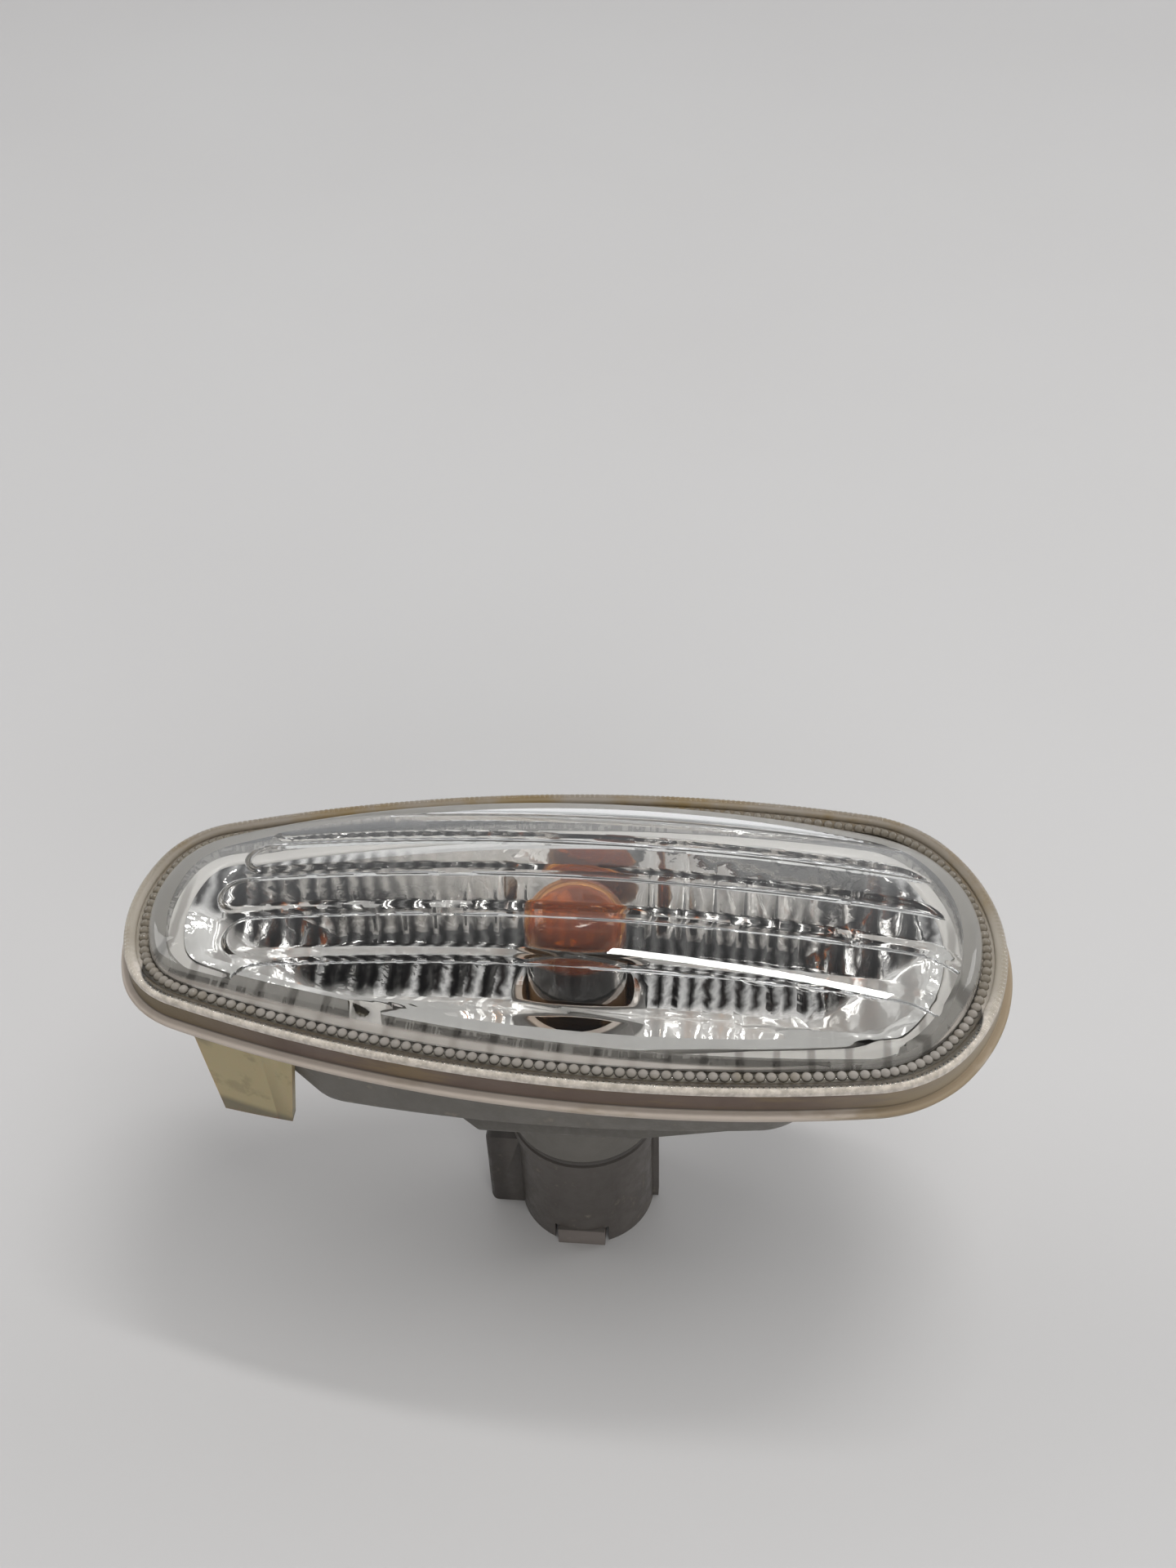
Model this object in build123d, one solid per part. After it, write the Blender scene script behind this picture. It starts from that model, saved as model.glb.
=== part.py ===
from build123d import *
from math import atan2, cos, degrees, hypot, pi, sin, sqrt
import os

# Side marker light of a car, millimetres.
# +Z is the optical axis, out of the lens. +X runs along the lamp towards its wide end.
# The origin is on the bulb axis, in the face of the rim gasket that lies on the body panel.

# Rim outline, seen from the front
RIM_LENGTH = 88.0
RIM_WIDTH = 40.0
RIM_CENTRE_X = -1.6
WIDEST_X = 9.4
SIDE_RADIUS = 150.0
NARROW_END_RADIUS = 18.5
NARROW_CORNER_RADIUS = 10.3
WIDE_END_RADIUS = 21.6
WIDE_CORNER_RADIUS = 13.6

# Rim gasket, an L section round the edge of the lens
LIP_THICKNESS = 1.0
LIP_WIDTH = 3.4
UPSTAND_INSET = 0.8
UPSTAND_WALL = 0.7
UPSTAND_TOP = 3.1
LIP_EDGE_RADIUS = 0.35

# Housing, a shallow boat-shaped bowl with a neck for the bulb holder
FLANGE_TOP = 2.2
BOWL_INSET = 5.2
BOWL_DEPTH = 12.0
BOWL_FLOOR_LENGTH = 56.0
BOWL_FLOOR_WIDTH = 25.6
BOWL_FLOOR_SIDE_RADIUS = 200.0
BOWL_FLOOR_END_RADIUS = 14.0
BOWL_FLOOR_CORNER_RADIUS = 7.0
HOUSING_WALL = 1.4
NECK_RADIUS = 8.0
NECK_BOTTOM = -24.2
NECK_BORE_RADIUS = 6.1
FLOOR_FILLET = 1.0

# Deeper middle of the bowl, round the neck
HUMP_HALF_WIDTH = 11.5
HUMP_BOTTOM = -15.2
HUMP_LEFT_X = -11.4
HUMP_LEFT_FOOT_X = -8.8
HUMP_RIGHT_FOOT_X = 4.0
HUMP_RIGHT_X = 17.0
HUMP_EDGE_RADIUS = 0.8

# Fixed hook moulded on the narrow end of the bowl
HOOK_OVERHANG = 0.4
HOOK_NOSE_LENGTH = 3.0
HOOK_NOSE_WIDTH = 4.8
HOOK_WIDTH = 6.0
HOOK_ROOT = 9.0
HOOK_TOP = -1.6
HOOK_NOSE_BOTTOM = -3.2
HOOK_BOTTOM = -3.6

# Bayonet between the neck and the bulb holder
BAYONET_LUGS = 3
LUG_RADIUS = 6.95
LUG_ARC = 36.0
LUG_HEIGHT = 1.6
LUG_MIDDLE_Z = -20.0
LUG_SIDE_GAP = 0.2
LUG_ROOT = 0.5
GROOVE_ARC = 84.5
GROOVE_MIDDLE_ANGLE = -23.75
ENTRY_ARC = 42.0
TWIST_ANGLE = -45.0

# Lens
RIM_BEAD_TOP = 3.8
RIM_BEAD_WIDTH = 1.2
GROOVE_TOP = 3.3
DOME_INSET = 3.3
DOME_WALL = 2.0
DOME_TOP = 9.6
DOME_RADIUS_ACROSS = 32.0
DOME_RADIUS_ALONG = 200.0
DOME_EDGE_RADIUS = 1.2
DOME_MARGIN = 2.0
DOME_SWEEP_ARC = 30.0
FLUTE_PITCH = 5.1
FLUTE_WIDTH = 4.0
FLUTE_DEPTH = 0.8
FLUTES_EACH_SIDE = 2
FLUTE_NARROW_END_X = -33.0
FLUTE_NARROW_END_SLOPE = 0.3
FLUTE_BEND_X = 33.0
FLUTE_WIDE_END_SLOPE = 0.25
FLUTE_BEND_RADIUS = 7.0
FLUTE_BEND_ARC = 50.0

# Reflector insert, stepped in columns away from the bulb
REFLECTOR_GAP = 0.2
REFLECTOR_WALL = 1.0
HOLLOW_HALF_TOP = 11.8
HOLLOW_TOP_TAPER = 7.0
HOLLOW_TOP_POWER = 2.2
HOLLOW_HALF_FLOOR = 8.2
HOLLOW_FLOOR_TAPER = 4.0
HOLLOW_FLOOR_Z = -8.6
HOLLOW_FLOOR_RISE = 1.5
HOLLOW_FLOOR_SAG = 0.8
HOLLOW_FLOOR_GROWTH = 0.6
COLUMN_PITCH = 3.2
COLUMN_RISER = 0.9
COLUMN_STEP = 0.8
COLUMNS_EACH_SIDE = 9
COLUMN_START_X = 6.0
COLLAR_RADIUS = 6.8
COLLAR_BORE_RADIUS = 5.7
COLLAR_TOP = -5.6

# Wedge-base bulb
GLASS_RADIUS = 5.0
GLASS_WALL = 0.5
GLASS_TIP = 6.6
GLASS_SHOULDER = -12.0
WEDGE_TOP = -14.6
WEDGE_BOTTOM = -21.5
WEDGE_WIDTH = 9.2
WEDGE_THICKNESS = 2.4
WEDGE_CORNER_RADIUS = 0.6
GLASS_FLOOR = 1.0
GLASS_EDGE_SHARE = 0.55
FILAMENT_Z = -1.0
FILAMENT_SPAN = 5.0
FILAMENT_RADIUS = 0.22
FILAMENT_DROP = 0.3
FILAMENT_RISE = 0.5
LEAD_RADIUS = 0.2
LEAD_BEND_RADIUS = 0.28
LEAD_TAIL_GAP = 0.1
LEAD_TAIL_TOP = -17.6
LEAD_BRIDGE_Z = -8.0
LEAD_BRIDGE_RADIUS = 0.8
LEAD_BRIDGE_OVERHANG = 0.8

# Bulb holder with its plug shroud
PLUG_RADIUS = 6.0
PLUG_TOP = -14.6
HOLDER_FLANGE_RADIUS = 8.0
HOLDER_FLANGE_TOP = -25.3
HOLDER_FLANGE_BOTTOM = -26.5
BARREL_RADIUS = 7.5
BARREL_BOTTOM = -40.3
SHROUD_BORE_RADIUS = 6.0
SHROUD_DEPTH = 11.0
WING_REACH = 10.9
WING_THICKNESS = 5.0
WING_TOP = -28.5
WING_EDGE_RADIUS = 0.8
WING_ROOT = 0.8
RIB_REACH = 8.1
RIB_THICKNESS = 1.2
LATCH_WIDTH = 5.2
LATCH_REACH = 7.6
LATCH_HEIGHT = 2.6
LATCH_SLOT = 0.4
SEAL_SECTION_RADIUS = 0.5
SEAL_RADIUS = 7.4

# Seats in the holder for the wedge base and for the contact strips
SEAT_GAP = 0.2
WEDGE_SEAT_BOTTOM = -22.4
POCKET_NEAR_Y = 0.5
POCKET_FAR_Y = 3.2
POCKET_BOTTOM = -23.5

# Contact strips
STRIP_WIDTH = 2.2
STRIP_THICKNESS = 0.5
STRIP_X = 2.6
SPRING_FLARE = 0.5
SPRING_TIP_Z = -15.0
SPRING_PINCH_Z = -18.0
STRIP_LEG_OFFSET = 0.35
STRIP_LEG_TOP = -22.6
STRIP_LEG_BOTTOM = -26.0
BLADE_TOP = -28.4
BLADE_BOTTOM = -38.6

# Retaining clip, a saddle under the narrow end of the bowl
CLIP_X = -32.2
CLIP_OUTER_INSET = 3.7
CLIP_INNER_INSET = 5.0
CLIP_TOP_Z = -0.3
CLIP_TOP_WIDTH = 12.0
CLIP_FOOT_WIDTH = 7.8
CLIP_FOOT_Z = -14.8
CLIP_FOOT_DROP = 1.5
CLIP_BRIDGE_WIDTH = 6.0
CLIP_BRIDGE_TOP = -12.2
CLIP_BRIDGE_THICKNESS = 1.4


def circle_meeting(centre_a, radius_a, centre_b, radius_b, side_sign):
    """The point where two circles cross, the one further out on a side of the Y axis."""
    dx = centre_b[0] - centre_a[0]
    dy = centre_b[1] - centre_a[1]
    gap = hypot(dx, dy)
    along = (radius_a**2 - radius_b**2 + gap**2) / (2 * gap)
    side = sqrt(radius_a**2 - along**2)
    foot = (centre_a[0] + along * dx / gap, centre_a[1] + along * dy / gap)
    options = [
        (foot[0] - side * dy / gap, foot[1] + side * dx / gap),
        (foot[0] + side * dy / gap, foot[1] - side * dx / gap),
    ]
    return max(options, key=lambda point: side_sign * point[0])


def pushed(origin, through, distance):
    """The point at a distance from origin, on the line through another point."""
    dx = through[0] - origin[0]
    dy = through[1] - origin[1]
    return (origin[0] + distance * dx / hypot(dx, dy), origin[1] + distance * dy / hypot(dx, dy))


def arc_about(centre, radius, start, end):
    """The shorter arc about a centre, from one direction to another."""
    first = atan2(start[1] - centre[1], start[0] - centre[0])
    last = atan2(end[1] - centre[1], end[0] - centre[0])
    if last - first > pi:
        last -= 2 * pi
    if first - last > pi:
        last += 2 * pi
    points = []
    for part in (0, 0.5, 1):
        angle = first + part * (last - first)
        points.append((centre[0] + radius * cos(angle), centre[1] + radius * sin(angle)))
    return ThreePointArc(*points)


def egg(length, width, widest_x, side_radius, ends, corners, inset=0.0):
    """An egg outline of ten tangent arcs. An inset takes the same length off each radius."""
    side_centre = (widest_x, width / 2 - side_radius)
    edges = []
    for sign, end_radius, corner_radius in zip((-1, 1), ends, corners):
        end_centre = (sign * (length / 2 - end_radius), 0)
        corner = circle_meeting(
            side_centre, side_radius - corner_radius, end_centre, end_radius - corner_radius, sign
        )
        tip = (end_centre[0] + sign * end_radius, 0)
        on_side = pushed(side_centre, corner, side_radius)
        on_end = pushed(end_centre, corner, end_radius)
        edges.append((end_centre, end_radius - inset, tip, on_end))
        edges.append((corner, corner_radius - inset, on_end, on_side))
        if sign < 0:
            left_side_point = on_side
    edges.append((side_centre, side_radius - inset, left_side_point, on_side))
    upper = [arc_about(*edge) for edge in edges]
    lower = [edge.mirror(Plane.XZ) for edge in upper]
    return Pos(RIM_CENTRE_X, 0) * make_face(upper + lower)


def rim(inset, z):
    """The rim outline, drawn in by an inset, at a height."""
    face = egg(
        RIM_LENGTH, RIM_WIDTH, WIDEST_X, SIDE_RADIUS,
        (NARROW_END_RADIUS, WIDE_END_RADIUS), (NARROW_CORNER_RADIUS, WIDE_CORNER_RADIUS), inset,
    )
    return Pos(0, 0, z) * face


def bowl_floor(inset, z):
    """The outline of the bowl's floor, drawn in by an inset, at a height."""
    face = egg(
        BOWL_FLOOR_LENGTH, BOWL_FLOOR_WIDTH, 0.0, BOWL_FLOOR_SIDE_RADIUS,
        (BOWL_FLOOR_END_RADIUS,) * 2, (BOWL_FLOOR_CORNER_RADIUS,) * 2, inset,
    )
    return Pos(0, 0, z) * face


def ring_band(outer, inner, bottom, top):
    """A band between two insets of the rim, from one height to another."""
    return extrude(rim(outer, bottom), top - bottom) - extrude(rim(inner, bottom), top - bottom)


def bowl(top_inset, top_z, floor_inset, floor_z):
    """A boat-shaped solid between the rim and the floor of the bowl."""
    return loft([bowl_floor(floor_inset, floor_z), rim(top_inset, top_z)], ruled=True)


def rod(radius, bottom, top):
    align = (Align.CENTER, Align.CENTER, Align.MIN)
    return Pos(0, 0, bottom) * Cylinder(radius, top - bottom, align=align)


def sector(outer, inner, middle_angle, arc, bottom, top):
    """A piece of a ring, centred on an angle."""
    section = Pos((inner + outer) / 2, (bottom + top) / 2) * Rectangle(outer - inner, top - bottom)
    piece = revolve(Plane.XZ * section, Axis.Z, arc)
    return Rot(0, 0, middle_angle - arc / 2) * piece


def slab(x_range, y_range, z_range):
    spans = [high - low for low, high in (x_range, y_range, z_range)]
    return Pos(x_range[0], y_range[0], z_range[0]) * Box(*spans, align=(Align.MIN,) * 3)


def make_rim_gasket():
    lip = ring_band(0.0, LIP_WIDTH, 0.0, LIP_THICKNESS)
    upstand = ring_band(UPSTAND_INSET, UPSTAND_INSET + UPSTAND_WALL, LIP_THICKNESS, UPSTAND_TOP)
    outer_edges = lip.faces().sort_by(Axis.Z)[-1].outer_wire().edges()
    return fillet(outer_edges, LIP_EDGE_RADIUS) + upstand


def make_housing():
    flange_edge = UPSTAND_INSET + UPSTAND_WALL
    flange = extrude(rim(flange_edge, LIP_THICKNESS), FLANGE_TOP - LIP_THICKNESS)
    outside = bowl(BOWL_INSET, LIP_THICKNESS, 0.0, -BOWL_DEPTH)
    floor_edges = outside.faces().sort_by(Axis.Z)[0].edges()
    outside = fillet(floor_edges, FLOOR_FILLET)
    neck = rod(NECK_RADIUS, NECK_BOTTOM, HUMP_BOTTOM + HOUSING_WALL)
    inside = bowl(
        BOWL_INSET + HOUSING_WALL, FLANGE_TOP, HOUSING_WALL, -BOWL_DEPTH + HOUSING_WALL
    )
    hump = hump_form(HUMP_HALF_WIDTH, 0.0)
    hump = fillet(hump.faces().sort_by(Axis.Z)[0].edges().filter_by(Axis.X), HUMP_EDGE_RADIUS)
    pocket = hump_form(HUMP_HALF_WIDTH - HOUSING_WALL, HOUSING_WALL)
    body = flange + outside + hump + neck - inside - pocket
    body -= rod(NECK_BORE_RADIUS, NECK_BOTTOM, FLANGE_TOP)
    return body - make_bayonet_track() + make_hook()


def hump_form(half_width, rise):
    """The deeper middle of the bowl as a solid: the outside, or the inside raised by the wall."""
    top = -BOWL_DEPTH + rise
    bottom = HUMP_BOTTOM + rise
    face = make_face(Polyline(
        (HUMP_LEFT_X, top), (HUMP_LEFT_FOOT_X, bottom), (HUMP_RIGHT_FOOT_X, bottom),
        (HUMP_RIGHT_X, top), close=True,
    ))
    return extrude(Plane.XZ * face, half_width, both=True)


def make_bayonet_track():
    """The grooves that the lugs turn in, with the slots by which they enter."""
    half_height = LUG_HEIGHT / 2 + LUG_SIDE_GAP
    outer = LUG_RADIUS + LUG_SIDE_GAP
    inner = NECK_BORE_RADIUS - LUG_ROOT
    bottom = LUG_MIDDLE_Z - half_height
    top = LUG_MIDDLE_Z + half_height
    cuts = []
    for lug in range(BAYONET_LUGS):
        lug_angle = 360 / BAYONET_LUGS * lug
        cuts.append(sector(outer, inner, lug_angle + GROOVE_MIDDLE_ANGLE, GROOVE_ARC, bottom, top))
        cuts.append(sector(outer, inner, lug_angle + TWIST_ANGLE, ENTRY_ARC, NECK_BOTTOM, bottom))
    return Part() + cuts


def make_hook():
    """The fixed hook at the narrow end, which goes under the edge of the panel opening."""
    rim_end = RIM_CENTRE_X - RIM_LENGTH / 2
    tip = rim_end - HOOK_OVERHANG
    shoulder = tip + HOOK_NOSE_LENGTH
    web = slab(
        (shoulder, rim_end + HOOK_ROOT), (-HOOK_WIDTH / 2, HOOK_WIDTH / 2), (HOOK_BOTTOM, HOOK_TOP)
    )
    nose = slab(
        (tip, shoulder), (-HOOK_NOSE_WIDTH / 2, HOOK_NOSE_WIDTH / 2), (HOOK_NOSE_BOTTOM, HOOK_TOP)
    )
    return web + nose


def dome(inset, drop, bottom):
    """A domed solid over the rim drawn in by an inset, its crown lower by a drop."""
    top = DOME_TOP - drop
    across = DOME_RADIUS_ACROSS - drop
    along = DOME_RADIUS_ALONG - drop
    reach = RIM_WIDTH / 2 + DOME_MARGIN
    edge_z = top - across + sqrt(across**2 - reach**2)
    base_z = edge_z - RIM_WIDTH / 2
    section = Plane.YZ * make_face([
        ThreePointArc((-reach, edge_z), (0, top), (reach, edge_z)),
        Line((reach, edge_z), (reach, base_z)),
        Line((reach, base_z), (-reach, base_z)),
        Line((-reach, base_z), (-reach, edge_z)),
    ])
    crown_axis = Axis((0, 0, top - along), (0, 1, 0))
    crown = revolve(section.rotate(crown_axis, -DOME_SWEEP_ARC / 2), crown_axis, DOME_SWEEP_ARC)
    prism = extrude(rim(inset, bottom), top - bottom + DOME_MARGIN)
    return crown & prism


def flute_outline(middle_y):
    """The plan of one long flute, its wide end bent round like a finger."""
    end_x = FLUTE_BEND_X - abs(middle_y) * FLUTE_WIDE_END_SLOPE
    start_x = FLUTE_NARROW_END_X + abs(middle_y) * FLUTE_NARROW_END_SLOPE
    middle = ((start_x + end_x) / 2, middle_y)
    straight = Pos(*middle) * SlotCenterToCenter(end_x - start_x, FLUTE_WIDTH)
    bend_centre = (end_x, middle_y - FLUTE_BEND_RADIUS)
    bend = CenterArc(bend_centre, FLUTE_BEND_RADIUS, 90, -FLUTE_BEND_ARC)
    return straight + SlotArc(bend, FLUTE_WIDTH)


def make_lens():
    skirt_edge = UPSTAND_INSET + UPSTAND_WALL
    skirt = ring_band(skirt_edge, DOME_INSET + DOME_WALL, FLANGE_TOP, GROOVE_TOP)
    bead = ring_band(UPSTAND_INSET, UPSTAND_INSET + RIM_BEAD_WIDTH, UPSTAND_TOP, RIM_BEAD_TOP)
    outside = dome(DOME_INSET, 0.0, FLANGE_TOP)
    outside = fillet(outside.faces().sort_by(Axis.Z)[-1].edges(), DOME_EDGE_RADIUS)
    inside = dome(DOME_INSET + DOME_WALL, DOME_WALL, FLANGE_TOP)
    plan = flute_outline(0)
    for number in range(1, FLUTES_EACH_SIDE + 1):
        plan += flute_outline(number * FLUTE_PITCH) + flute_outline(-number * FLUTE_PITCH)
    flute_roof = dome(DOME_INSET + DOME_WALL, DOME_WALL - FLUTE_DEPTH, FLANGE_TOP)
    flutes = extrude(plan, DOME_TOP) & flute_roof
    return skirt + bead + outside - inside - flutes


def column_section(x, growth):
    """The hollow of the reflector across the lamp at one place along it."""
    share = min(1.0, abs(x - RIM_CENTRE_X) / (RIM_LENGTH / 2))
    half_top = HOLLOW_HALF_TOP - HOLLOW_TOP_TAPER * share**HOLLOW_TOP_POWER + growth
    half_floor = HOLLOW_HALF_FLOOR - HOLLOW_FLOOR_TAPER * share**2 + growth * HOLLOW_FLOOR_GROWTH
    floor_z = HOLLOW_FLOOR_Z + HOLLOW_FLOOR_RISE * share**2 - growth
    edge_z = floor_z + HOLLOW_FLOOR_SAG
    top_z = FLANGE_TOP + REFLECTOR_GAP
    face = make_face([
        Line((half_top, top_z), (-half_top, top_z)),
        Line((-half_top, top_z), (-half_floor, edge_z)),
        ThreePointArc((-half_floor, edge_z), (0, floor_z), (half_floor, edge_z)),
        Line((half_floor, edge_z), (half_top, top_z)),
    ])
    return Plane.YZ.offset(x) * face


def make_reflector():
    gap = HOUSING_WALL + REFLECTOR_GAP
    outside = bowl(BOWL_INSET + gap, FLANGE_TOP, gap, -BOWL_DEPTH + gap)
    hollow = loft([column_section(-COLUMN_START_X, 0), column_section(COLUMN_START_X, 0)])
    for side in (-1, 1):
        for number in range(COLUMNS_EACH_SIDE):
            near = side * (COLUMN_START_X + number * COLUMN_PITCH)
            foot = near + side * COLUMN_RISER
            far = near + side * COLUMN_PITCH
            hollow += loft([column_section(near, 0), column_section(foot, COLUMN_STEP)])
            hollow += loft([column_section(foot, COLUMN_STEP), column_section(far, 0)])
    inner = gap + REFLECTOR_WALL
    limit = bowl(BOWL_INSET + inner, FLANGE_TOP + 0.2, inner, -BOWL_DEPTH + inner)
    collar = rod(COLLAR_RADIUS, -BOWL_DEPTH + inner, COLLAR_TOP)
    collar = fillet(collar.edges().sort_by(Axis.Z)[-1:], 0.4)
    bore = rod(COLLAR_BORE_RADIUS, -BOWL_DEPTH, FLANGE_TOP)
    end_hollow = bowl(BOWL_INSET + inner, FLANGE_TOP + 0.2, inner + 2.0, -BOWL_DEPTH + inner + 3.0)
    return outside - (hollow & limit) - end_hollow + collar - bore


def make_bulb_glass():
    outer = bulb_form(GLASS_RADIUS, GLASS_TIP, GLASS_SHOULDER)
    inner_radius = GLASS_RADIUS - GLASS_WALL
    inner = bulb_form(inner_radius, GLASS_TIP - GLASS_WALL, GLASS_SHOULDER + GLASS_FLOOR)
    wedge_face = RectangleRounded(WEDGE_WIDTH, WEDGE_THICKNESS, WEDGE_CORNER_RADIUS)
    shoulder_face = Circle(GLASS_RADIUS)
    pinch = loft([Pos(0, 0, WEDGE_TOP) * wedge_face, Pos(0, 0, GLASS_SHOULDER) * shoulder_face])
    wedge = extrude(Pos(0, 0, WEDGE_BOTTOM) * wedge_face, WEDGE_TOP - WEDGE_BOTTOM)
    glass = outer + pinch + wedge - inner
    for side in (-1, 1):
        lead_hole = rod(LEAD_RADIUS, WEDGE_BOTTOM, GLASS_SHOULDER + 2 * GLASS_FLOOR)
        glass -= Pos(side * FILAMENT_SPAN / 2, 0) * lead_hole
    return glass


def bulb_form(radius, tip, bottom):
    """A tube with a rounded edge and a nearly flat tip."""
    edge = radius * GLASS_EDGE_SHARE
    section = make_face([
        Line((0, bottom), (radius, bottom)),
        Line((radius, bottom), (radius, tip - edge)),
        CenterArc((radius - edge, tip - edge), edge, 0, 90),
        Line((radius - edge, tip), (0, tip)),
        Line((0, tip), (0, bottom)),
    ])
    return revolve(Plane.XZ * section, Axis.Z)


def make_lead(side):
    """One lead wire: up to the filament, and folded up the face of the wedge base."""
    x = side * FILAMENT_SPAN / 2
    face_y = side * (WEDGE_THICKNESS / 2 + LEAD_RADIUS)
    bend_z = WEDGE_BOTTOM - LEAD_RADIUS - LEAD_TAIL_GAP
    path = FilletPolyline(
        (x, 0, FILAMENT_Z), (x, 0, bend_z), (x, face_y, bend_z), (x, face_y, LEAD_TAIL_TOP),
        radius=LEAD_BEND_RADIUS,
    )
    return sweep(Plane.XY.offset(FILAMENT_Z) * Pos(x, 0) * Circle(LEAD_RADIUS), path=path)


def make_lead_bridge():
    """The glass bead that holds the two lead wires apart."""
    length = FILAMENT_SPAN + 2 * LEAD_BRIDGE_OVERHANG
    bead = Pos(0, 0, LEAD_BRIDGE_Z) * Rot(0, 90, 0) * Cylinder(LEAD_BRIDGE_RADIUS, length)
    for side in (-1, 1):
        bead -= Pos(side * FILAMENT_SPAN / 2, 0) * rod(LEAD_RADIUS, GLASS_SHOULDER, FILAMENT_Z)
    return bead


def make_filament():
    half = FILAMENT_SPAN / 2 - LEAD_RADIUS
    end_z = FILAMENT_Z - FILAMENT_DROP
    path = ThreePointArc((-half, 0, end_z), (0, 0, FILAMENT_Z + FILAMENT_RISE), (half, 0, end_z))
    start = Plane(origin=path @ 0, z_dir=path % 0)
    return sweep(start * Circle(FILAMENT_RADIUS), path=path)


def make_contact(side):
    """A folded strip: its middle line in the YZ plane, thickened and drawn out to the width."""
    spring_y = side * (WEDGE_THICKNESS / 2 + 2 * LEAD_RADIUS + STRIP_THICKNESS / 2)
    leg_y = spring_y + side * STRIP_LEG_OFFSET
    points = [
        (spring_y + side * SPRING_FLARE, SPRING_TIP_Z),
        (spring_y, SPRING_PINCH_Z),
        (leg_y, STRIP_LEG_TOP),
        (leg_y, STRIP_LEG_BOTTOM),
        (0, BLADE_TOP),
        (0, BLADE_BOTTOM),
    ]
    runs = []
    for start, end in zip(points, points[1:]):
        length = hypot(end[0] - start[0], end[1] - start[1])
        angle = degrees(atan2(end[1] - start[1], end[0] - start[0]))
        middle = ((start[0] + end[0]) / 2, (start[1] + end[1]) / 2)
        runs.append(Pos(*middle) * Rot(0, 0, angle) * SlotCenterToCenter(length, STRIP_THICKNESS))
    flat = Plane.YZ.offset(side * STRIP_X - STRIP_WIDTH / 2) * (Sketch() + runs)
    return extrude(flat, STRIP_WIDTH, dir=(1, 0, 0))


def make_bulb_holder():
    plug = rod(PLUG_RADIUS, HOLDER_FLANGE_TOP, PLUG_TOP)
    flange = rod(HOLDER_FLANGE_RADIUS, HOLDER_FLANGE_BOTTOM, HOLDER_FLANGE_TOP)
    barrel = rod(BARREL_RADIUS, BARREL_BOTTOM, HOLDER_FLANGE_BOTTOM)
    holder = plug + flange + barrel
    lug_bottom = LUG_MIDDLE_Z - LUG_HEIGHT / 2
    for lug in range(BAYONET_LUGS):
        angle = 360 / BAYONET_LUGS * lug
        inner = PLUG_RADIUS - LUG_ROOT
        holder += sector(LUG_RADIUS, inner, angle, LUG_ARC, lug_bottom, lug_bottom + LUG_HEIGHT)
    holder += make_wing()
    holder += slab(
        (BARREL_RADIUS - WING_ROOT, RIB_REACH), (-RIB_THICKNESS / 2, RIB_THICKNESS / 2),
        (BARREL_BOTTOM, WING_TOP),
    )
    latch_z = (BARREL_BOTTOM, BARREL_BOTTOM + LATCH_HEIGHT)
    latch_y = (-LATCH_REACH, WING_ROOT - BARREL_RADIUS)
    holder += slab((-LATCH_WIDTH / 2, LATCH_WIDTH / 2), latch_y, latch_z)
    for side in (-1, 1):
        slot_x = sorted((side * LATCH_WIDTH / 2, side * (LATCH_WIDTH / 2 + LATCH_SLOT)))
        holder -= slab(slot_x, (-LATCH_REACH, -SHROUD_BORE_RADIUS / 2), latch_z)
    holder -= rod(SHROUD_BORE_RADIUS, BARREL_BOTTOM, BARREL_BOTTOM + SHROUD_DEPTH)
    seat_x = WEDGE_WIDTH / 2 + SEAT_GAP
    seat_y = WEDGE_THICKNESS / 2 + SEAT_GAP
    holder -= slab((-seat_x, seat_x), (-seat_y, seat_y), (WEDGE_SEAT_BOTTOM, PLUG_TOP))
    for side in (-1, 1):
        pocket_y = sorted((side * POCKET_NEAR_Y, side * POCKET_FAR_Y))
        middle_x = side * STRIP_X
        half_x = STRIP_WIDTH / 2 + SEAT_GAP
        holder -= slab((middle_x - half_x, middle_x + half_x), pocket_y, (POCKET_BOTTOM, PLUG_TOP))
        holder -= make_contact(side)
    return holder


def make_wing():
    """The grip wing, its outer corners rounded."""
    half_thickness = WING_THICKNESS / 2
    wing = slab(
        (-WING_REACH, WING_ROOT - BARREL_RADIUS), (-half_thickness, half_thickness),
        (BARREL_BOTTOM, WING_TOP),
    )
    return fillet(wing.faces().sort_by(Axis.X)[0].edges(), WING_EDGE_RADIUS)


def make_holder_seal():
    ring = Torus(SEAL_RADIUS, SEAL_SECTION_RADIUS)
    return Pos(0, 0, HOLDER_FLANGE_TOP + SEAL_SECTION_RADIUS) * ring


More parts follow.
